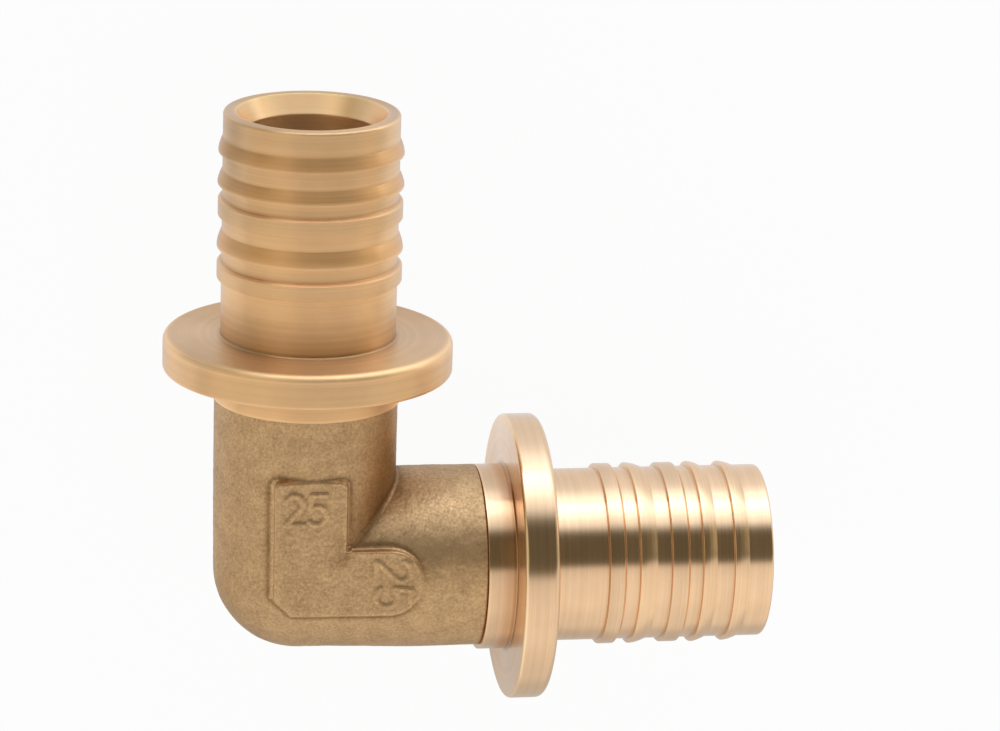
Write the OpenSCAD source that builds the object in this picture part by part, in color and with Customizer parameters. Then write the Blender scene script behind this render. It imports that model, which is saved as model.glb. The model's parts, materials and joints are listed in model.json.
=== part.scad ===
// Equal ninety degree elbow fitting for a plastic pipe held by axial sliding sleeves.
// One casting: a plain L-shaped body, and on each branch a turned collar, flange and ribbed spigot.
// It lies on the rims of its two flanges, with the branches along +X and +Y and the raised pad on top.

/* [Branches] */
// distance from the crossing of the branch axes to the pipe side of each flange
reach = 28; // [24:0.5:40]
// length of each spigot beyond its flange
spigot_l = 27; // [22:0.5:34]
// diameter of the spigot between its ribs
spigot_d = 20.36; // [17:0.02:21]
// bevel on the outer edge of the mouth
mouth_bevel = 0.35; // [0.1:0.05:0.6]

/* [Ribs] */
// how far the rib crests stand out of the spigot
rib_h = 0.52; // [0.3:0.02:1]
// distance from one rib to the next
rib_pitch = 3.77; // [3.2:0.01:4.2]
// distance from the flange to the first rib
rib_start = 7.1; // [4:0.1:8]
// crest width of a square rib
square_crest = 2.2; // [1.4:0.1:2.6]
// crest width of a ramped rib
ramped_crest = 0.55; // [0.3:0.05:1]
// length of the ramp on the mouth side of a ramped rib
ramp_l = 1.5; // [0.8:0.1:2]

/* [Flanges] */
// outside diameter of each flange
flange_d = 34; // [30:0.5:44]
// thickness of each flange
flange_t = 4; // [2.5:0.1:6]
// bevel on both edges of the rim
flange_bevel = 0.4; // [0.1:0.05:0.8]
// length of the turned collar behind the flange
collar_l = 3.4; // [2:0.1:5]
// how far the collar stands out of the cast body
collar_step = 0.2; // [0.1:0.05:0.8]

/* [Cast body] */
// outside diameter of the cast body
body_d = 21.72; // [20:0.02:25]
// radius of the outer corner of the body, seen from above
corner_r = 10; // [5:0.1:10.8]

/* [Waterway] */
// diameter of the bore
bore_d = 15; // [10:0.2:16]
// depth of the countersink in each mouth, cut at forty-five degrees
sink_depth = 1.5; // [0.4:0.1:1.9]

/* [Pad] */
// height of the flat pad above the crest of the body
pad_rise = 0.15; // [0.05:0.05:0.6]
// distance from the crossing to the end of each leg of the pad
pad_reach = 13.2; // [11:0.1:15]
// half the width of each leg
pad_half = 4.25; // [3.4:0.05:5.4]
// how far the pad sits off the axes, away from the inner corner on X and towards it on Y
pad_shift = 0.45; // [0:0.05:0.8]
// corner radius at the square end of the pad
pad_corner_r = 0.9; // [0.4:0.1:1.4]
// size of the bevel at the outer corner of the pad
pad_bevel = 2.4; // [1:0.1:3]

/* [Hidden] */
$fn = 96;
spigot_r = spigot_d / 2;
crest_r = spigot_r + rib_h;
flange_r = flange_d / 2;
body_r = body_d / 2;
collar_r = body_r + collar_step;
bore_r = bore_d / 2;
branch_l = reach + spigot_l;
flange_back = reach - flange_t;
cast_end = flange_back - collar_l;
// the corner radius of the waterway keeps the same share of its own radius as the body's
bore_corner_r = corner_r * bore_r / body_r;
// the cast body and each turned end run this far into each other
overlap = 2;
// cutting tools run this far past the faces they cut
past = 1;
// place of the crossing of the axes, seen from the middle of the outline on the floor
shift = (branch_l - flange_r) / 2;

function rib_at(i) = reach + rib_start + i * rib_pitch;

// ribs counted from the flange: square, ramped, square, ramped, ramped
module square_rib(i) {
    translate([0, rib_at(i)])
        square([crest_r, square_crest]);
}

module ramped_rib(i) {
    translate([0, rib_at(i)])
        polygon([
            [0, 0],
            [crest_r, 0],
            [crest_r, ramped_crest],
            [spigot_r, ramped_crest + ramp_l],
            [0, ramped_crest + ramp_l]
        ]);
}

// half section of a turned end, radius to the right and distance from the crossing upwards
module end_section() {
    polygon([
        [0, cast_end - overlap],
        [body_r - collar_step, cast_end - overlap],
        [body_r - collar_step, cast_end],
        [collar_r, cast_end],
        [collar_r, flange_back],
        [flange_r - flange_bevel, flange_back],
        [flange_r, flange_back + flange_bevel],
        [flange_r, reach - flange_bevel],
        [flange_r - flange_bevel, reach],
        [spigot_r, reach],
        [spigot_r, branch_l - mouth_bevel],
        [spigot_r - mouth_bevel, branch_l],
        [0, branch_l]
    ]);
    square_rib(0);
    ramped_rib(1);
    square_rib(2);
    ramped_rib(3);
    ramped_rib(4);
}

module turned_end() {
    rotate_extrude()
        end_section();
}

// plan of the Y leg of a mitred bar, cut along the diagonal and at the start of the corner turn
module leg_plan(r, c, l) {
    polygon([
        [-r - past, -c],
        [-c, -c],
        [r + past, r + past],
        [r + past, l + past],
        [-r - past, l + past]
    ]);
}

module mitred_leg(r, c, l) {
    intersection() {
        translate([0, -c, 0])
            rotate([-90, 0, 0])
                cylinder(r = r, h = l + c);
        linear_extrude(height = 2 * (r + past), center = true)
            leg_plan(r, c, l);
    }
}

// round bar bent square: two mitred legs, and the outer corner turned about an upright line at -c, -c
module bent_bar(r, turn_r, l) {
    c = r - turn_r;
    mitred_leg(r, c, l);
    mirror([1, -1, 0])
        mitred_leg(r, c, l);
    translate([-c, -c, 0])
        rotate([0, 0, 180])
            rotate_extrude(angle = 90)
                intersection() {
                    translate([-c, 0])
                        circle(r = r);
                    translate([0, -r])
                        square([r, 2 * r]);
                }
}

// flat L-shaped pad for the size marks, square at the Y end and round at the X end
module pad_plan() {
    x0 = -pad_half - pad_shift;
    x1 = pad_half - pad_shift;
    y0 = -pad_half + pad_shift;
    y1 = pad_half + pad_shift;
    difference() {
        union() {
            translate([x0, y0])
                square([x1 - x0, pad_reach - pad_corner_r - y0]);
            translate([x0 + pad_corner_r, y0])
                square([x1 - x0 - 2 * pad_corner_r, pad_reach - y0]);
            for (x = [x0 + pad_corner_r, x1 - pad_corner_r])
                translate([x, pad_reach - pad_corner_r])
                    circle(r = pad_corner_r);
            translate([x0, y0])
                square([pad_reach - pad_half - x0, y1 - y0]);
            translate([pad_reach - pad_half, pad_shift])
                circle(r = pad_half);
        }
        translate([x0, y0])
            polygon([
                [-past, -past],
                [pad_bevel, -past],
                [pad_bevel, 0],
                [0, pad_bevel],
                [-past, pad_bevel]
            ]);
    }
}

module pad() {
    linear_extrude(height = body_r + pad_rise)
        pad_plan();
}

module countersink() {
    translate([0, 0, branch_l - sink_depth])
        cylinder(r1 = bore_r, r2 = bore_r + sink_depth + past, h = sink_depth + past);
}

module waterway() {
    bent_bar(bore_r, bore_corner_r, branch_l + past);
    rotate([0, 90, 0])
        countersink();
    rotate([-90, 0, 0])
        countersink();
}

module elbow() {
    color([0.72, 0.56, 0.36])
        translate([-shift, -shift, flange_r])
            difference() {
                union() {
                    bent_bar(body_r, corner_r, cast_end + overlap);
                    pad();
                    rotate([0, 90, 0])
                        turned_end();
                    rotate([-90, 0, 0])
                        turned_end();
                }
                waterway();
            }
}

elbow();
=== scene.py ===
import bpy
import json
import numpy as np
from mathutils import Matrix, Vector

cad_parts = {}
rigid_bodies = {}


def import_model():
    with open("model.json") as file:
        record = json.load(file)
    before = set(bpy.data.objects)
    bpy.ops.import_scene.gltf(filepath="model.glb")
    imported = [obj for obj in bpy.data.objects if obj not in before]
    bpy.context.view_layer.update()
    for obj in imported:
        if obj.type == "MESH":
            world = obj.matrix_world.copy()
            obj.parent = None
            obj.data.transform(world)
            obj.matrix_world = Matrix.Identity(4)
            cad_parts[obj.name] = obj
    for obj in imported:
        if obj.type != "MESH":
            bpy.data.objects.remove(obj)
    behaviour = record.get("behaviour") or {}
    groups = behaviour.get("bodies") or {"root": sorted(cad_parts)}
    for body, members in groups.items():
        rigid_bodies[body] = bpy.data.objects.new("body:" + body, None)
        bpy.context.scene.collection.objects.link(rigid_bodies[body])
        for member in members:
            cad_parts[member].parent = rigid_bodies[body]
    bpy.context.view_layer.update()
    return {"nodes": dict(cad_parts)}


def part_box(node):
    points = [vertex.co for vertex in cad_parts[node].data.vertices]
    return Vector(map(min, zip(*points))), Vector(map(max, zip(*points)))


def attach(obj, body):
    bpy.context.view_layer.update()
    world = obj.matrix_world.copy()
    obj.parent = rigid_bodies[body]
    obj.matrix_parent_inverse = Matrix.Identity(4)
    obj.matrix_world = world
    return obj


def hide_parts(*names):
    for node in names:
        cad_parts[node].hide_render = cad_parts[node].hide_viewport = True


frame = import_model()
print("frame loaded, one node:", sorted(frame["nodes"]))

# Shapes are worked out in millimetres from the crossing of the two branch axes:
# x along one branch, y along the other, z up towards the pad. The crossing is one
# flange radius in from the low corner of the CAD box on every side.
flangeRadius = 17.0
crossing = np.array(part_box("elbow")[0]) * 1000 + flangeRadius


def toMetres(points):
    return (points + crossing) / 1000


def smooth(a, b, x):  # 0 below a, 1 above b, a soft S between
    t = np.clip((x - a) / (b - a), 0, 1)
    return t * t * (3 - 2 * t)


# Skin over a grid of points: rows i go with u, columns j with v, and the last row and column
# join the first, so the skin is closed. The UV map holds u along the rows and v around.
def gridMesh(name, points, uValues=None, normals=None, marks={}):
    nu, nv = points.shape[:2]
    i, j = np.meshgrid(np.arange(nu), np.arange(nv), indexing="ij")
    corner = [(i, j), (i + 1, j), (i + 1, j + 1), (i, j + 1)]
    faces = np.stack([(a % nu) * nv + b % nv for a, b in corner], -1).reshape(-1, 4)
    mesh = bpy.data.meshes.new(name)
    mesh.from_pydata(toMetres(points).reshape(-1, 3), [], faces)
    mesh.polygons.foreach_set("use_smooth", np.ones(len(faces), bool))
    if uValues is not None:
        u = np.append(uValues, uValues[-1])
        uv = np.stack([np.stack([u[a], b / nv], -1) for a, b in corner], 2)
        mesh.uv_layers.new(name="turning").data.foreach_set("uv", uv.reshape(-1).astype(np.float32))
    for key, value in marks.items():
        mesh.attributes.new(key, "FLOAT", "POINT").data.foreach_set("value", value.reshape(-1).astype(np.float32))
    mesh.update()
    if normals is not None:
        mesh.normals_split_custom_set_from_vertices(normals.reshape(-1, 3))
    piece = bpy.data.objects.new(name, mesh)
    bpy.context.scene.collection.objects.link(piece)
    return piece


# Value noise: a random number at each corner of a cubic lattice, blended inside each cell by soft S weights.
def latticeNoise(points, cell, seed):
    table = np.random.default_rng(seed).uniform(-1, 1, 4096)
    p = points / cell
    base = np.floor(p).astype(np.int64)
    f = p - base
    f = f * f * f * (f * (f * 6 - 15) + 10)
    total = 0
    for dx, dy, dz in np.ndindex(2, 2, 2):
        key = (base[..., 0] + dx) * 73856093 ^ (base[..., 1] + dy) * 19349663 ^ (base[..., 2] + dz) * 83492791
        w = (f[..., 0] if dx else 1 - f[..., 0]) * (f[..., 1] if dy else 1 - f[..., 1]) * (f[..., 2] if dz else 1 - f[..., 2])
        total = total + w * table[key & 4095]
    return total


# Closed line through corners (along, radius, fillet). Each corner becomes an arc that touches both its sides, and
# long straight stretches get a few more points near their ends. Returns the points, their unit normals, their length
# along the line, and the painted light and wear: 1 at the middle of an outer edge for a painted highlight with wear,
# -1 in the middle of an inner one for painted shade, fading as exp(-(distance / reach)^2), and over twice that reach
# from an inner one.
def roundedProfile(corners, reach):
    c = np.array(corners, float)
    count = len(c)
    arcs, middles, bends = [], [], []
    for k in range(count):
        p, r = c[k, :2], c[k, 2]
        a, b = c[k - 1, :2] - p, c[(k + 1) % count, :2] - p
        la, lb = np.hypot(*a), np.hypot(*b)
        a, b = a / la, b / lb
        half = np.arccos(np.clip(a @ b, -1, 1)) / 2
        cut = min(r / np.tan(half), 0.48 * la, 0.48 * lb)
        r = cut * np.tan(half)
        turn = np.sign(a[0] * b[1] - a[1] * b[0])  # the way the line bends here
        centre = p + (a + b) / np.hypot(*(a + b)) * r / np.sin(half)
        start, end = p + a * cut - centre, p + b * cut - centre
        sweep = np.arctan2(start[0] * end[1] - start[1] * end[0], start @ end)
        t = np.linspace(0, 1, 2 + int(round(abs(sweep) / 0.25)))[:, None]
        s, q = np.sin(sweep * t), np.cos(sweep * t)
        d = np.c_[start[0] * q - start[1] * s, start[0] * s + start[1] * q]
        arcs.append((centre + d, d / r * turn))
        bends.append(turn * smooth(0.35, 0.9, abs(sweep)))
    pts, nrm = [], []
    for k in range(count):
        middles.append(sum(len(x) for x in pts) + len(arcs[k][0]) // 2)
        pts.append(arcs[k][0])
        nrm.append(arcs[k][1])
        here, there = arcs[k][0][-1], arcs[(k + 1) % count][0][0]
        gap = np.hypot(*(there - here))
        steps = np.array([0.1, 0.3, gap - 0.3, gap - 0.1] if gap > 0.8 else [0.1, gap - 0.1] if gap > 0.35 else [])
        if len(steps):
            pts.append(here + (there - here) * steps[:, None] / gap)
            nrm.append(np.repeat(arcs[k][1][-1:], len(steps), 0))
    pts, nrm = np.concatenate(pts), np.concatenate(nrm)
    length = np.cumsum(np.r_[0, np.hypot(*np.diff(pts, axis=0).T)])
    away = np.abs(length[:, None] - length[middles][None, :])
    fade = np.where(np.array(bends) < 0, 2 * reach, reach)
    paintedLightAndWear = (np.exp(-(away / fade) ** 2) * bends).sum(1)
    return pts, nrm, length, paintedLightAndWear


camera = {
    "place": (-0.08734, 0.17110, 0.55076),
    "right": (0.98677, 0.03041, 0.15925),
    "up": (0.01810, 0.95546, -0.29458),
    "back": (-0.16112, 0.29356, 0.94227),
    "lens": 172.59,
}
eye = bpy.data.objects.new("photoCamera", bpy.data.cameras.new("photoCamera"))
bpy.context.scene.collection.objects.link(eye)
turn = np.eye(4)
turn[:3, 0], turn[:3, 1], turn[:3, 2], turn[:3, 3] = camera["right"], camera["up"], camera["back"], camera["place"]
eye.matrix_world = Matrix(turn.tolist())
eye.data.lens, eye.data.sensor_width, eye.data.sensor_fit = camera["lens"], 36.0, "HORIZONTAL"
eye.data.clip_start, eye.data.clip_end = 0.02, 20.0
bpy.context.scene.camera = eye
print("camera placed")

turnedEnd = {
    "back": 20.6,  # where the cast skin gives way to turned metal
    "collar": 11.05,
    "flangeBack": 24.0,
    "flangeFront": 28.13,
    "spigot": 10.29,
    # each rib: start, end of its crest, where it meets the spigot again, height, and whether its back is a long curve
    "ribs": [
        (35.07, 36.87, 37.18, 0.52, False),
        (38.76, 39.1, 40.9, 0.55, True),
        (42.58, 44.53, 44.84, 0.48, False),
        (46.34, 46.6, 48.1, 0.55, True),
        (50.15, 50.4, 52.0, 0.5, True),
    ],
    "mouth": 54.95,
    "mouthRound": 0.35,
    "sinkRadius": 8.84,
    "sinkDepth": 2.2,
    # painted highlight: the countersink is painted brighter
    "sinkPaintedHighlight": 1.36,  # the countersink is this much brighter
    # painted shade: the tops of the square ribs are painted darker
    "crestPaintedShade": 0.9,  # and the tops of the square ribs this much darker
    "bore": 7.5,
    "paintedLightAndWearReach": 0.2,
    # share of the painted highlight, painted shade and wear that the spigot has on its edges, and at the flange side
    # and the mouth side of its ribs
    "paintedLightAndWearX": (0.3, 0.25, 0.0),
    "paintedLightAndWearY": (0.3, 0.0, 0.5),
    "footPaintedLightAndWear": 0.55,  # and where the spigot meets its flange
    # painted light and shade on the finish, as brightness by the distance along the branch
    "paintedLightAlongX": [(21, 0.89), (23.8, 0.91), (24, 1.16), (24.4, 0.98), (28, 0.98), (29.5, 1.07), (54.5, 1.06)],
    "paintedLightAlongY": [
        (21, 1.16), (24, 1.06), (26.9, 1.03), (27.4, 1.2), (27.9, 1.12), (28.1, 1.0), (28.35, 0.72),
        (28.9, 0.96), (29.5, 1.15), (30.4, 1.24), (32, 1.22), (37, 1.17), (46, 1.06), (54.5, 0.95),
    ],
    "around": 256,
}


# Half section of a turned end as one closed line: back face, collar, flange, ribbed spigot, mouth, countersink, bore.
# The back of a ramped rib is the curve height * (1 - t^1.5), with t from 0 at the crest to 1 at the foot.
def turnedProfile(t):
    back, r, rib = t["back"], t["spigot"], []
    for start, crest, foot, height, ramped in t["ribs"]:
        top = r + height
        rib += [(start, r, 0.07), (start + 0.05, top, 0.1), (crest, top, 0.1)]
        if ramped:
            rib += [(crest + (foot - crest) * q, r + height * (1 - q**1.5), 3.0) for q in (0.2, 0.4, 0.6, 0.8)]
        rib += [(foot, r, 0.12)]
    front, mouth = t["flangeFront"], t["mouth"]
    line = [
        (back, t["bore"], 0.05),
        (back, t["collar"], 0.06),
        (t["flangeBack"], t["collar"], 0.22),
        (t["flangeBack"], flangeRadius, 0.45),
        (front, flangeRadius, 0.85),
        (front, r - 0.02, 0.3),
        *rib,
        (mouth, r, t["mouthRound"]),
        (mouth, t["sinkRadius"], 0.12),
        (mouth - t["sinkDepth"], t["bore"], 0.4),
    ]
    return roundedProfile(line, t["paintedLightAndWearReach"])


# The half section spun round the branch axis. u runs along the section and v around it, so u lies across the turning marks.
def makeTurnedEnd(name, swap, tonesAndPaintedLight, spigotPaintedLightAndWear):
    t = turnedEnd
    section, out, length, paintedLightAndWear = turnedProfile(t)
    far, radius = section.T
    onSpigot = (far > t["flangeFront"] + 0.3) & (radius > t["sinkRadius"] + 0.2)
    # shares of painted highlight on edges and painted shade in inner corners, with wear
    onEdge, atFlangeSide, atMouthSide = spigotPaintedLightAndWear
    share = np.where(paintedLightAndWear > 0, onEdge, atMouthSide)
    ramp, onCrest = 0, 0
    for start, crest, foot, height, ramped in t["ribs"]:
        share = np.where((paintedLightAndWear < 0) & (abs(far - start) < 0.6), atFlangeSide, share)
        back = smooth(crest - 0.05, crest + 0.3, far) * (1 - smooth(foot - 0.1, foot + 0.25, far))
        ramp = ramp + ramped * back * onSpigot
        onCrest = onCrest + (not ramped) * smooth(start - 0.1, start + 0.1, far) * (1 - smooth(crest - 0.1, crest + 0.1, far))
    share = np.where(onSpigot, share, np.where(far > t["flangeFront"] - 0.01, t["footPaintedLightAndWear"], 1))
    sunk = t["mouth"] - t["sinkDepth"]
    # inside the bore, from a little below its edge: a darker colour that is painted shade, and a rougher finish
    inside = smooth(0.2, 0.5, sunk - far) * (radius < t["bore"] + 0.1)
    inSink = smooth(sunk - 0.1, sunk + 0.1, far) * (radius < t["sinkRadius"] + 0.02)
    lines = {"paintedLightAndWear": np.clip(paintedLightAndWear * share, -1, 1), "ramp": ramp, "inside": inside}
    # painted light and shade: brightness along the branch, the countersink painted brighter and the square crests
    # darker
    lines["paintedLightTone"] = np.interp(far, *zip(*tonesAndPaintedLight)) * (1 + (t["sinkPaintedHighlight"] - 1) * inSink + (t["crestPaintedShade"] - 1) * onCrest * onSpigot)
    angle = np.linspace(0, 2 * np.pi, turnedEnd["around"], endpoint=False)
    sine, cosine = np.sin(angle), np.cos(angle)
    along = np.repeat(section[:, :1], len(angle), 1)
    points = np.stack([along, section[:, 1:] * sine, section[:, 1:] * cosine], -1)
    normals = np.stack([np.repeat(out[:, :1], len(angle), 1), out[:, 1:] * sine, out[:, 1:] * cosine], -1)
    if swap:  # the other branch is the mirror image across x = y, taken the other way round
        points, normals = points[:, ::-1, [1, 0, 2]], normals[:, ::-1, [1, 0, 2]]
    marks = {key: np.repeat(line[:, None], len(angle), 1) for key, line in lines.items()}
    return gridMesh(name, points, length / 10, normals, marks)


endX = makeTurnedEnd("turnedEndX", False, turnedEnd["paintedLightAlongX"], turnedEnd["paintedLightAndWearX"])
endY = makeTurnedEnd("turnedEndY", True, turnedEnd["paintedLightAlongY"], turnedEnd["paintedLightAndWearY"])
print("turned ends:", len(endX.data.polygons), "faces each")

castBody = {
    "radius": 10.79,
    "corner": 9.95,  # outer corner, seen from above
    "drawnIn": (0.43, 0.16, 11.9),  # near the corner the outer line of each leg lies this far in, and is back in line this far out
    "offCentre": (-0.11, 0.29),  # the casting sits this far from the turned axes
    "creaseRadius": (0.25, 0.5),  # fillet of the mitre on top and in the inner angle
    "end": 20.6,
    "bore": 7.56,
    "padTop": 10.95,
    "padX": (-5.0, 3.95),  # upright leg of the pad
    "padY": (-3.8, 4.6),  # lying leg of the pad
    "padReach": (13.0, 13.15),  # along x, along y
    "padBevel": 2.4,
    "padEdge": 0.62,  # width of the rounded edge of the pad
    "grain": 0.018,
    "lump": 0.035,
}
sizeNumbers = {
    "stroke": 0.33,  # half the width of a line
    "rise": 0.155,
    "upright": {"corner": (-3.55, 7.85), "height": 3.7, "wide": 2.15, "gap": 0.6},
    "lying": {"corner": (7.3, 3.2), "height": 4.2, "wide": 2.6, "gap": 0.6},
}


# Signed distance to the outline of the L-shaped pad, less than 0 inside: two rounded boxes and a disc joined, less the corner bevel.
def padDistance(x, y):
    b = castBody

    def roundedBox(x0, x1, y0, y1, r):
        dx = np.abs(x - (x0 + x1) / 2) - (x1 - x0) / 2 + r
        dy = np.abs(y - (y0 + y1) / 2) - (y1 - y0) / 2 + r
        return np.hypot(np.maximum(dx, 0), np.maximum(dy, 0)) + np.minimum(np.maximum(dx, dy), 0) - r

    (x0, x1), (y0, y1), (rx, ry) = b["padX"], b["padY"], b["padReach"]
    half = (y1 - y0) / 2
    leg = roundedBox(x0, x1, y0, ry, 0.9)
    foot = roundedBox(x0, rx - half, y0, y1, 0.4)
    tip = np.hypot(x - (rx - half), y - (y0 + y1) / 2) - half
    bevel = ((x0 + b["padBevel"] - x) + (y0 - y)) / np.sqrt(2)
    return np.maximum(np.minimum(np.minimum(leg, foot), tip), bevel)


# Strokes of a plain 2 and 5 in a unit box, as polylines.
def numberLines():
    a = np.radians(np.linspace(165, -35, 12))
    two = np.r_[np.c_[0.5 + 0.47 * np.cos(a), 0.72 + 0.27 * np.sin(a)], [[0.03, 0.02], [1.0, 0.02]]]
    a = np.radians(np.linspace(135, -140, 14))
    five = np.r_[[[0.92, 0.99], [0.16, 0.99], [0.08, 0.55]], np.c_[0.45 + 0.5 * np.cos(a), 0.31 + 0.31 * np.sin(a)]]
    return two, five


# Height of the size numbers over the pad: full on a stroke, falling softly to nothing at its edge.
def numberHeight(x, y):
    nearest = np.full(x.shape, 9.0)
    for place, lying in ((sizeNumbers["upright"], False), (sizeNumbers["lying"], True)):
        for k, line in enumerate(numberLines()):
            p = line * [place["wide"], place["height"]] + [k * (place["wide"] + place["gap"]), 0]
            if lying:
                p = np.c_[p[:, 1], -p[:, 0]]
            p = p + place["corner"]
            for a, b in zip(p[:-1], p[1:]):
                d = b - a
                t = np.clip(((x - a[0]) * d[0] + (y - a[1]) * d[1]) / (d @ d), 0, 1)
                nearest = np.minimum(nearest, np.hypot(x - a[0] - t * d[0], y - a[1] - t * d[1]))
    half = sizeNumbers["stroke"]
    return sizeNumbers["rise"] * (1 - smooth(half * 0.35, half * 1.45, nearest))


# How high the pad and the numbers stand over the plain round bar, over each point of the plan.
def reliefHeight(x, y):
    across = np.minimum(np.where(x > y, np.abs(y), np.abs(x)), castBody["radius"] - 0.01)
    plain = np.sqrt(castBody["radius"] ** 2 - across ** 2)
    edge = castBody["padEdge"] / 2
    inside = 1 - smooth(-edge, edge, padDistance(x, y))
    return (np.maximum(castBody["padTop"] - plain, 0) + numberHeight(x, y)) * inside


# How deep a point lies under its surroundings: the relief blurred by a bell curve, less the relief itself.
# Worked out on a square grid over the plan and read off at each point by the four nearest grid values.
def hollowAt(x, y, spread):
    low, cell = -12.0, 0.08
    line = low + cell * np.arange(440)
    relief = reliefHeight(line[:, None] + 0 * line[None, :], 0 * line[:, None] + line[None, :])
    reach = np.arange(-int(3 * spread / cell), int(3 * spread / cell) + 1) * cell
    bell = np.exp(-(reach / spread) ** 2 / 2)
    bell = bell / bell.sum()
    blurred = sum(w * np.roll(relief, k - len(bell) // 2, 0) for k, w in enumerate(bell))
    blurred = sum(w * np.roll(blurred, k - len(bell) // 2, 1) for k, w in enumerate(bell))
    hollow = blurred - relief
    gx, gy = np.clip((x - low) / cell, 0, 438), np.clip((y - low) / cell, 0, 438)
    i, j = gx.astype(int), gy.astype(int)
    fx, fy = gx - i, gy - j
    return (hollow[i, j] * (1 - fx) + hollow[i + 1, j] * fx) * (1 - fy) + (hollow[i, j + 1] * (1 - fx) + hollow[i + 1, j + 1] * fx) * fy


# Lines along a round bar bent square. Each line keeps its own height and its own distance y from the axis; it comes in
# along x, turns through a quarter circle tangent to both legs, and goes out along y. Returns axis points and directions.
def bentRows(radius, corner, crease, theta, leg, turns):
    y = -radius * np.sin(theta)
    inner = crease[0] + (crease[1] - crease[0]) * smooth(1.0, 7.0, y)
    turnRadius = np.maximum(-y - (radius - corner), inner)
    start = y + turnRadius  # where the line leaves the straight leg
    rows, ways = [], []
    for s in leg:  # from the x end to the turn
        x = start + (castBody["end"] - start) * s
        rows.append(np.c_[x, 0 * x, 0 * x])
        ways.append(np.c_[0 * x, -1 + 0 * x])
    for phi in turns:
        rows.append(np.c_[start * (1 - np.sin(phi)), start * (1 - np.cos(phi)), 0 * y])
        ways.append(np.c_[-np.sin(phi) + 0 * y, -np.cos(phi) + 0 * y])
    for s in leg[::-1]:
        x = start + (castBody["end"] - start) * s
        rows.append(np.c_[0 * x, x, 0 * x])
        ways.append(np.c_[-1 + 0 * x, 0 * x])
    return np.array(rows), np.array(ways)


# Outer skin: each point stands on the bar's axis line at a radius, which is the bar's own, raised to the flat of the pad
# inside the pad's outline, plus the numbers and the grain. The waterway is the same bar, smaller. The two skins are one
# closed grid, joined at both ends inside the turned metal.
def makeCastBody():
    b = castBody
    fine = np.radians(28)
    top = np.linspace(-fine, fine, 92)
    side = np.linspace(fine, 2 * np.pi - fine, 176)[1:-1]
    theta = np.r_[top, side]
    near = np.linspace(0, 0.66, 116)
    far = np.linspace(0.66, 1, 30)[1:]
    leg = np.r_[near, far][::-1]
    turns = np.radians(np.linspace(0, 90, 22)[1:-1])
    axis, way = bentRows(b["radius"], b["corner"], b["creaseRadius"], theta, leg, turns)
    sine, cosine = np.sin(theta)[None, :], np.cos(theta)[None, :]
    upward = np.broadcast_to(cosine[..., None], way.shape[:2] + (1,))
    direction = np.concatenate([way * sine[..., None], upward], -1)

    # the pad: radius at which the ray from the axis meets the plane of its top
    up = np.maximum(cosine, 0.3)
    flat = b["padTop"] / up
    plan = axis[..., :2] + way * (b["padTop"] * sine / up)[..., None]
    onTop = cosine > 0.5
    inside = (1 - smooth(-b["padEdge"] / 2, b["padEdge"] / 2, padDistance(plan[..., 0], plan[..., 1]))) * onTop
    radius = b["radius"] + (np.maximum(flat, b["radius"]) - b["radius"]) * inside
    radius = radius + numberHeight(plan[..., 0], plan[..., 1]) / up * inside

    # the cast skin: broad lumps and blasted grain
    skin = axis + direction * radius[..., None]
    grain = latticeNoise(skin, 0.5, 5) + 0.6 * latticeNoise(skin, 0.28, 8)
    radius = radius + b["lump"] * latticeNoise(skin, 3.1, 3) + b["grain"] * grain
    outer = axis + direction * radius[..., None]

    # painted shade and wear: darker in hollows beside the pad's edges and the numbers and in the inner angle, a painted
    # highlight on raised edges
    at = (axis + direction * radius[..., None])[..., :2]
    depth = hollowAt(at[..., 0], at[..., 1], 0.34) * onTop
    across = (at[..., 0] - at[..., 1]) / np.sqrt(2)
    # painted shade along the inner angle, wide on the y leg side
    innerAnglePaintedShade = 0.6 * np.exp(-(across / 0.4) ** 2) + 0.85 * np.exp(-(across / np.where(across > 0, 0.8, 3.6)) ** 2)
    innerAnglePaintedShade = innerAnglePaintedShade * smooth(1.0, 5.0, np.minimum(at[..., 0], at[..., 1])) * (cosine > -0.2)
    paintedLightAndWear = np.clip(-depth / 0.135 - innerAnglePaintedShade, -1, 1)

    # near the corner the outer lines are drawn in a little, and the casting as a whole sits off the turned axes
    x, y = outer[..., 0].copy(), outer[..., 1].copy()
    inX, inY, reach = b["drawnIn"]
    outer[..., 1] += inX * np.clip(1 - x / reach, 0, 1) * np.clip(-y / b["radius"], 0, 1)
    outer[..., 0] += inY * np.clip(1 - y / reach, 0, 1) * np.clip(-x / b["radius"], 0, 1)
    outer = outer + np.array([*b["offCentre"], 0.0])

    # waterway, run the other way so that the grid closes on itself
    few = np.linspace(0, 1, 12)[::-1]
    inAxis, inWay = bentRows(b["bore"], b["corner"] * b["bore"] / b["radius"], (0.3, 0.3), theta, few, turns[::2])
    inUp = np.broadcast_to(cosine[..., None], inWay.shape[:2] + (1,))
    inner = (inAxis + b["bore"] * np.concatenate([inWay * sine[..., None], inUp], -1))[::-1]

    # hidden tongue at each end, inside the turned metal
    def ringAt(along, radius, swap):
        line = np.stack([np.full(len(theta), along), -sine[0] * radius, cosine[0] * radius], -1)
        return line[:, [1, 0, 2]] if swap else line

    end, sunk = b["end"], b["radius"] - 0.9
    endsX = [ringAt(end + out, sunk, False) for out in (0.6, 0.02)]
    endsY = [ringAt(end + out, sunk, True) for out in (0.02, 0.6)]
    innerY, innerX = [ringAt(end + 0.6, b["bore"], True)], [ringAt(end + 0.6, b["bore"], False)]
    ring = np.concatenate([endsX, outer, endsY, innerY, inner, innerX], 0)
    allPaintedLightAndWear = np.zeros(ring.shape[:2])
    allPaintedLightAndWear[2:2 + len(outer)] = paintedLightAndWear
    return gridMesh("castBody", ring, marks={"paintedLightAndWear": allPaintedLightAndWear})


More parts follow.
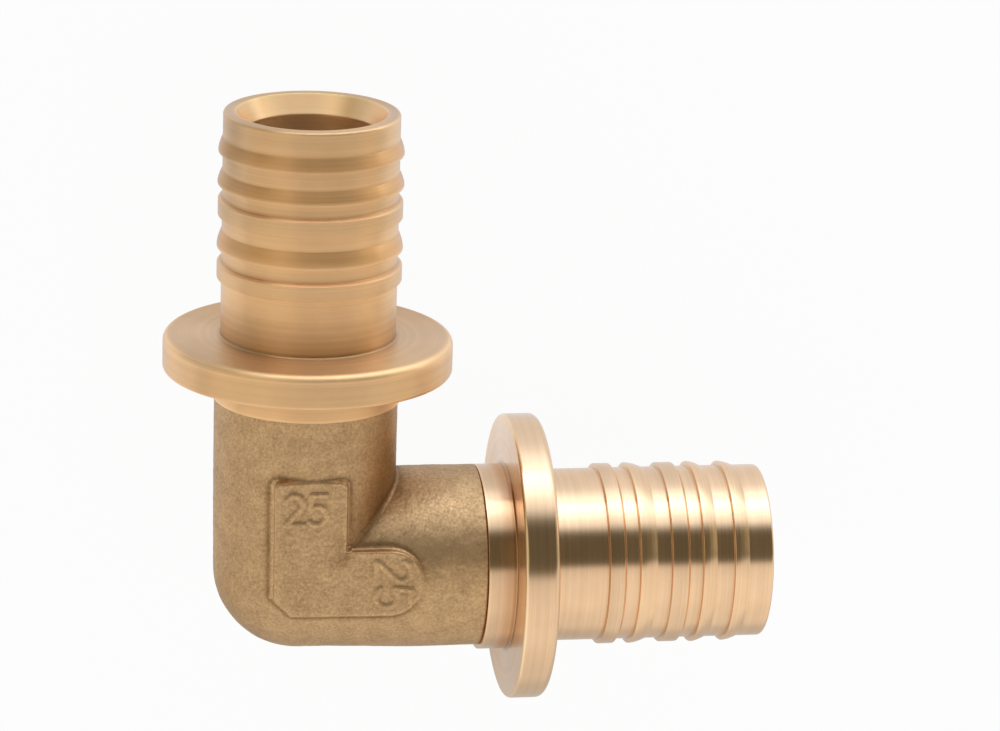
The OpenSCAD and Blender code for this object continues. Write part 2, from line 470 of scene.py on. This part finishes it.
body = makeCastBody()
print("cast body:", len(body.data.polygons), "faces")

turnedLook = {
    "colourX": (0.84, 0.565, 0.34),
    "colourY": (0.795, 0.495, 0.248),
    # painted shade: share of the colour left on the backs of the ramped ribs, darker and warmer
    "rampPaintedShadeX": (1.0, 0.99, 0.96),
    "rampPaintedShadeY": (0.89, 0.785, 0.65),
    # painted shade inside the bore
    "boreColourAndShade": (0.7, 0.39, 0.17),
    "roughnessX": 0.23,
    "roughnessY": 0.40,
    "anisotropy": 0.82,
    # painted shade in inner corners and a painted highlight on outer edges, with some wear
    "cornerPaintedShade": (0.58, 0.49, 0.40),  # share of the colour left in an inner corner
    "edgePaintedHighlight": 1.2,
    "streak": 0.06,
}
castLook = {
    "dark": (0.4, 0.25, 0.121),
    "light": (0.73, 0.475, 0.244),
    "roughness": 0.5,
    "grainSize": 0.34,
    "grainDepth": 0.022,
    # painted shade in hollows and a painted highlight on raised edges
    "hollowPaintedShade": (0.58, 0.52, 0.46),
    "edgePaintedHighlight": 1.08,
}


def newMaterial(name):
    made = bpy.data.materials.new(name)
    made.use_nodes = True
    tree = made.node_tree
    tree.nodes.clear()
    out, shader = tree.nodes.new("ShaderNodeOutputMaterial"), tree.nodes.new("ShaderNodeBsdfPrincipled")
    tree.links.new(shader.outputs[0], out.inputs["Surface"])
    return made, tree, shader


def addNode(tree, kind, inputs={}, **settings):
    made = tree.nodes.new(kind)
    for key, value in settings.items():
        setattr(made, key, value)
    for key, value in inputs.items():
        if isinstance(value, bpy.types.NodeSocket):
            tree.links.new(value, made.inputs[key])
        else:
            made.inputs[key].default_value = value
    return made


def rangeNode(tree, value, fromLow, fromHigh, toLow, toHigh, kind="LINEAR"):
    inputs = {"Value": value, "From Min": fromLow, "From Max": fromHigh, "To Min": toLow, "To Max": toHigh}
    return addNode(tree, "ShaderNodeMapRange", inputs, interpolation_type=kind).outputs[0]


def times(tree, *values):
    out = values[0]
    for value in values[1:]:
        out = addNode(tree, "ShaderNodeMath", {0: out, 1: value}, operation="MULTIPLY").outputs[0]
    return out


def blendColours(tree, factor, first, second):
    mix = addNode(tree, "ShaderNodeMix", {"Factor": factor}, data_type="RGBA")
    colours = [s for s in mix.inputs if s.type == "RGBA"]
    for socket, value in zip(colours, (first, second)):
        if isinstance(value, bpy.types.NodeSocket):
            tree.links.new(value, socket)
        else:
            socket.default_value = (*value, 1)
    return [s for s in mix.outputs if s.type == "RGBA"][0]


# The colour times a tone: painted shade, darker and warmer, in hollows and inner corners and a painted highlight on
# edges, from the piece's painted light and wear attribute.
def paintedLightAndWornColour(tree, colour, paintedLightTone, dark, bright):
    paintedLightAndWear = addNode(tree, "ShaderNodeAttribute", attribute_name="paintedLightAndWear").outputs["Fac"]
    hollow = blendColours(tree, rangeNode(tree, paintedLightAndWear, -1.0, 0.0, 1.0, 0.0), (1.0, 1.0, 1.0), dark)
    tinted = addNode(tree, "ShaderNodeVectorMath", {0: colour, 1: hollow}, operation="MULTIPLY").outputs[0]
    scale = times(tree, rangeNode(tree, paintedLightAndWear, 0.0, 1.0, 1.0, bright), paintedLightTone)
    return addNode(tree, "ShaderNodeVectorMath", {0: tinted, "Scale": scale}, operation="SCALE").outputs[0]


def turnedMetal(name, colour, rampPaintedShade, roughness):
    made, tree, shader = newMaterial(name)
    look = turnedLook
    place = addNode(tree, "ShaderNodeTexCoord").outputs["Object"]
    turning = addNode(tree, "ShaderNodeUVMap", uv_map="turning").outputs[0]
    # turning marks: noise stretched right round the part, so it only changes along the section
    stretched = addNode(tree, "ShaderNodeMapping", {"Vector": turning, "Scale": (1.0, 0.004, 1.0)}).outputs[0]
    marks = addNode(tree, "ShaderNodeTexNoise", {"Vector": stretched, "Scale": 45.0, "Detail": 3.0, "Roughness": 0.6}).outputs[0]
    bands = addNode(tree, "ShaderNodeTexNoise", {"Vector": stretched, "Scale": 11.0, "Detail": 2.0, "Roughness": 0.6}).outputs[0]
    cloud = addNode(tree, "ShaderNodeTexNoise", {"Vector": place, "Scale": 190.0, "Detail": 2.0}).outputs[0]
    tonesAndPaintedLight = [rangeNode(tree, cloud, 0.3, 0.7, 0.95, 1.04)]
    tonesAndPaintedLight += [rangeNode(tree, source, 0.3, 0.7, 1 - look["streak"], 1 + look["streak"] * 0.8) for source in (marks, bands)]
    # painted light and shade along the section, from the piece's attribute
    tonesAndPaintedLight.append(addNode(tree, "ShaderNodeAttribute", attribute_name="paintedLightTone").outputs["Fac"])
    inside = addNode(tree, "ShaderNodeAttribute", attribute_name="inside").outputs["Fac"]
    ramp = addNode(tree, "ShaderNodeAttribute", attribute_name="ramp").outputs["Fac"]
    # painted shade: the backs of the ramped ribs are painted darker
    steep = blendColours(tree, ramp, colour, tuple(np.multiply(colour, rampPaintedShade)))
    # the bore is painted darker: painted shade
    mixed = blendColours(tree, inside, steep, look["boreColourAndShade"])
    worn = paintedLightAndWornColour(tree, mixed, times(tree, *tonesAndPaintedLight), look["cornerPaintedShade"], look["edgePaintedHighlight"])
    tree.links.new(worn, shader.inputs["Base Color"])
    rough = rangeNode(tree, marks, 0.3, 0.7, roughness - 0.03, roughness + 0.04)
    rougher = rangeNode(tree, inside, 0.0, 1.0, 0.0, 0.2)
    total = addNode(tree, "ShaderNodeMath", {0: rough, 1: rougher}, operation="ADD").outputs[0]
    tree.links.new(total, shader.inputs["Roughness"])
    bump = addNode(tree, "ShaderNodeBump", {"Height": marks, "Strength": 0.2, "Distance": 0.00002}).outputs[0]
    tree.links.new(bump, shader.inputs["Normal"])
    tangent = addNode(tree, "ShaderNodeTangent", direction_type="UV_MAP", uv_map="turning").outputs[0]
    tree.links.new(tangent, shader.inputs["Tangent"])
    shader.inputs["Metallic"].default_value = 1.0
    shader.inputs["Anisotropic"].default_value = look["anisotropy"]
    return made


def castMetal(name):
    made, tree, shader = newMaterial(name)
    look = castLook
    place = addNode(tree, "ShaderNodeTexCoord").outputs["Object"]
    grain = addNode(tree, "ShaderNodeTexNoise", {"Vector": place, "Scale": 1000 / look["grainSize"], "Detail": 3.0, "Roughness": 0.7}).outputs[0]
    blotch = addNode(tree, "ShaderNodeTexNoise", {"Vector": place, "Scale": 420.0, "Detail": 3.0, "Roughness": 0.6}).outputs[0]
    weighed = addNode(tree, "ShaderNodeMath", {0: blotch, 1: 0.55, 2: 0.225}, operation="MULTIPLY_ADD").outputs[0]
    both = addNode(tree, "ShaderNodeMath", {0: grain, 1: weighed}, operation="ADD").outputs[0]
    part = rangeNode(tree, both, 0.7, 1.3, 0.0, 1.0)
    colour = blendColours(tree, part, look["dark"], look["light"])
    tree.links.new(paintedLightAndWornColour(tree, colour, 1.0, look["hollowPaintedShade"], look["edgePaintedHighlight"]), shader.inputs["Base Color"])
    tree.links.new(rangeNode(tree, grain, 0.3, 0.7, look["roughness"] + 0.06, look["roughness"] - 0.06), shader.inputs["Roughness"])
    bump = addNode(tree, "ShaderNodeBump", {"Height": grain, "Strength": 1.0, "Distance": look["grainDepth"] / 1000}).outputs[0]
    tree.links.new(bump, shader.inputs["Normal"])
    shader.inputs["Metallic"].default_value = 1.0
    return made


castGunmetal = castMetal("castGunmetal")
endX.data.materials.append(turnedMetal("turnedGunmetalX", *[turnedLook[key + "X"] for key in ("colour", "rampPaintedShade", "roughness")]))
endY.data.materials.append(turnedMetal("turnedGunmetalY", *[turnedLook[key + "Y"] for key in ("colour", "rampPaintedShade", "roughness")]))
body.data.materials.append(castGunmetal)
node = frame["nodes"]["elbow"]
node.data.materials.clear()
node.data.materials.append(castGunmetal)
print("materials made")

for piece, slotName in ((body, "cast_gunmetal"), (endX, "turned_gunmetal"), (endY, "turned_gunmetal")):
    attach(piece, "root")
    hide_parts("elbow")

studio = {
    "floorColour": 0.9,
    "floorShown": 0.95,  # share of plain white that the camera sees on the floor
    # what polished metal sees of the floor, by its place along y in metres: a painted shadow close under the -y side
    "floorMirrored": [(-0.3, 0.9), (-0.15, 0.82), (-0.09, 0.66), (-0.045, 0.58), (-0.035, 0.6), (-0.026, 0.85), (0.0, 0.95)],
    # and a glow under the soft light, on the +x side only
    "floorGlow": [(0.0, 0.0), (0.03, 0.25), (0.09, 1.1), (0.25, 1.4)],
    "floorGlowSide": (-0.004, 0.01),
    # painted light and shade on the floor further away, as a share more or less, on the -x side and on the +x side
    "floorLeft": [(-0.02, 0.2), (0.012, 0.12), (0.028, -0.4)],
    "floorRight": [(0.006, 0.0), (0.016, -0.45), (0.04, -0.45), (0.06, 0.0)],
    # brightness of the room by the height y of the direction: a pale table on the -y side, an unlit room in front
    "room": [(-1.0, 0.88), (-0.95, 0.9), (-0.77, 1.0), (-0.31, 0.95), (-0.06, 0.86), (0.0, 0.68), (0.07, 0.22), (0.12, 0.12)],
    # more of it towards both sides
    "roomSides": [(0.04, 0.0), (0.14, 0.5), (0.5, 0.5), (0.62, 0.0)],
    "roomSidesFrom": ((-0.65, -0.25), (0.76, 0.94)),
    "roomWarm": (1.0, 0.95, 0.72),  # colour of its dark part
    # and of the soft light over the +y side, a long strip along x: by y / (y^2 + z^2)^0.37
    "softLight": [(0.65, 0.0), (0.73, 0.12), (0.79, 0.66), (0.83, 1.1), (0.88, 1.35), (0.93, 1.75), (0.97, 2.45), (1.0, 2.75)],
    "softLightColour": (0.9, 1.0, 1.15),
    "softLightSides": ((-0.8, -0.4), (0.78, 0.94)),
}


# Brightness as a line through (y, level) points: each stretch of it is one clamped step, and the steps add up.
def brightnessLine(tree, y, points):
    total = points[0][1]
    for (y0, low), (y1, high) in zip(points[:-1], points[1:]):
        step = rangeNode(tree, y, y0, y1, 0.0, high - low)
        total = addNode(tree, "ShaderNodeMath", {0: step, 1: total}, operation="ADD").outputs[0]
    return total


def makeFloor():
    side = 1.5
    mesh = bpy.data.meshes.new("floor")
    mesh.from_pydata([(-side, -side, 0), (side, -side, 0), (side, side, 0), (-side, side, 0)], [], [(0, 1, 2, 3)])
    floor = bpy.data.objects.new("floor", mesh)
    bpy.context.scene.collection.objects.link(floor)
    made, tree, shader = newMaterial("paleFloor")
    c = studio["floorColour"]
    shader.inputs["Base Color"].default_value = (c, c, c, 1)
    shader.inputs["Roughness"].default_value = 0.9
    path = addNode(tree, "ShaderNodeLightPath")
    white = addNode(tree, "ShaderNodeEmission", {"Color": (1, 1, 1, 1), "Strength": 1.0})
    seen = times(tree, path.outputs["Is Camera Ray"], studio["floorShown"])
    shown = addNode(tree, "ShaderNodeMixShader", {0: seen, 1: shader.outputs[0], 2: white.outputs[0]})
    split = addNode(tree, "ShaderNodeSeparateXYZ", {0: addNode(tree, "ShaderNodeTexCoord").outputs["Object"]})
    x, y = split.outputs["X"], split.outputs["Y"]
    glow = times(tree, brightnessLine(tree, y, studio["floorGlow"]), rangeNode(tree, x, *studio["floorGlowSide"], 0.0, 1.0, "SMOOTHSTEP"))
    base = addNode(tree, "ShaderNodeMath", {0: brightnessLine(tree, y, studio["floorMirrored"]), 1: glow}, operation="ADD").outputs[0]
    left = times(tree, brightnessLine(tree, y, studio["floorLeft"]), rangeNode(tree, x, -0.06, -0.03, 1.0, 0.0, "SMOOTHSTEP"))
    right = times(tree, brightnessLine(tree, y, studio["floorRight"]), rangeNode(tree, x, 0.08, 0.11, 0.0, 1.0, "SMOOTHSTEP"))
    more = addNode(tree, "ShaderNodeMath", {0: left, 1: right}, operation="ADD").outputs[0]
    level = addNode(tree, "ShaderNodeMath", {0: base, 1: more, 2: base}, operation="MULTIPLY_ADD").outputs[0]
    cool = rangeNode(tree, y, -0.03, 0.03, 0.0, 1.0)
    tint = blendColours(tree, cool, (1.0, 1.0, 1.0), studio["softLightColour"])
    bright = addNode(tree, "ShaderNodeEmission", {"Color": tint, "Strength": level})
    # glossy rays see the floor as a glow carrying the painted shadow and painted light set in studio, not the lit floor
    mirrored = times(tree, path.outputs["Is Glossy Ray"], 0.85)
    both = addNode(tree, "ShaderNodeMixShader", {0: mirrored, 1: shown.outputs[0], 2: bright.outputs[0]})
    out = [n for n in tree.nodes if n.type == "OUTPUT_MATERIAL"][0]
    tree.links.new(both.outputs[0], out.inputs["Surface"])
    mesh.materials.append(made)
    return floor


# Light by direction only, and plain white for the camera.
def makeWorld():
    world = bpy.data.worlds.new("studio")
    bpy.context.scene.world = world
    world.use_nodes = True
    tree = world.node_tree
    tree.nodes.clear()
    way = addNode(tree, "ShaderNodeTexCoord").outputs["Generated"]
    split = addNode(tree, "ShaderNodeSeparateXYZ", {0: way})
    (left0, left1), (right0, right1) = studio["roomSidesFrom"]
    atLeft = rangeNode(tree, split.outputs["X"], left0, left1, 1.0, 0.0, "SMOOTHSTEP")
    atRight = rangeNode(tree, split.outputs["X"], right0, right1, 0.0, 1.0, "SMOOTHSTEP")
    atSides = addNode(tree, "ShaderNodeMath", {0: atLeft, 1: atRight}, operation="ADD").outputs[0]
    sides = times(tree, brightnessLine(tree, split.outputs["Y"], studio["roomSides"]), atSides)
    room = brightnessLine(tree, split.outputs["Y"], studio["room"])
    room = addNode(tree, "ShaderNodeMath", {0: room, 1: sides}, operation="ADD").outputs[0]
    across = addNode(tree, "ShaderNodeVectorMath", {0: way, 1: (0.0, 1.0, 1.0)}, operation="MULTIPLY")
    length = addNode(tree, "ShaderNodeVectorMath", {0: across.outputs[0]}, operation="LENGTH").outputs["Value"]
    spread = addNode(tree, "ShaderNodeMath", {0: length, 1: 0.74}, operation="POWER").outputs[0]
    strip = addNode(tree, "ShaderNodeMath", {0: split.outputs["Y"], 1: spread}, operation="DIVIDE").outputs[0]
    light = brightnessLine(tree, strip, studio["softLight"])
    (up0, up1), (down0, down1) = studio["softLightSides"]
    rise = rangeNode(tree, split.outputs["X"], up0, up1, 0.0, 1.0, "SMOOTHSTEP")
    fall = rangeNode(tree, split.outputs["X"], down0, down1, 1.0, 0.0, "SMOOTHSTEP")
    path = addNode(tree, "ShaderNodeLightPath")
    warm = blendColours(tree, rangeNode(tree, split.outputs["Y"], 0.0, 0.1, 0.0, 1.0), (1.0, 1.0, 1.0), studio["roomWarm"])
    roomLight = addNode(tree, "ShaderNodeBackground", {"Color": warm, "Strength": room})
    softLight = addNode(tree, "ShaderNodeBackground", {"Color": (*studio["softLightColour"], 1), "Strength": times(tree, light, rise, fall)})
    lit = addNode(tree, "ShaderNodeAddShader", {0: roomLight.outputs[0], 1: softLight.outputs[0]})
    white = addNode(tree, "ShaderNodeBackground", {"Color": (1, 1, 1, 1), "Strength": 1.0})
    both = addNode(tree, "ShaderNodeMixShader", {0: path.outputs["Is Camera Ray"], 1: lit.outputs[0], 2: white.outputs[0]})
    out = addNode(tree, "ShaderNodeOutputWorld")
    tree.links.new(both.outputs[0], out.inputs["Surface"])


makeFloor()
makeWorld()
bpy.context.scene.view_settings.view_transform = "Standard"
print("floor and light set")

bpy.context.view_layer.update()
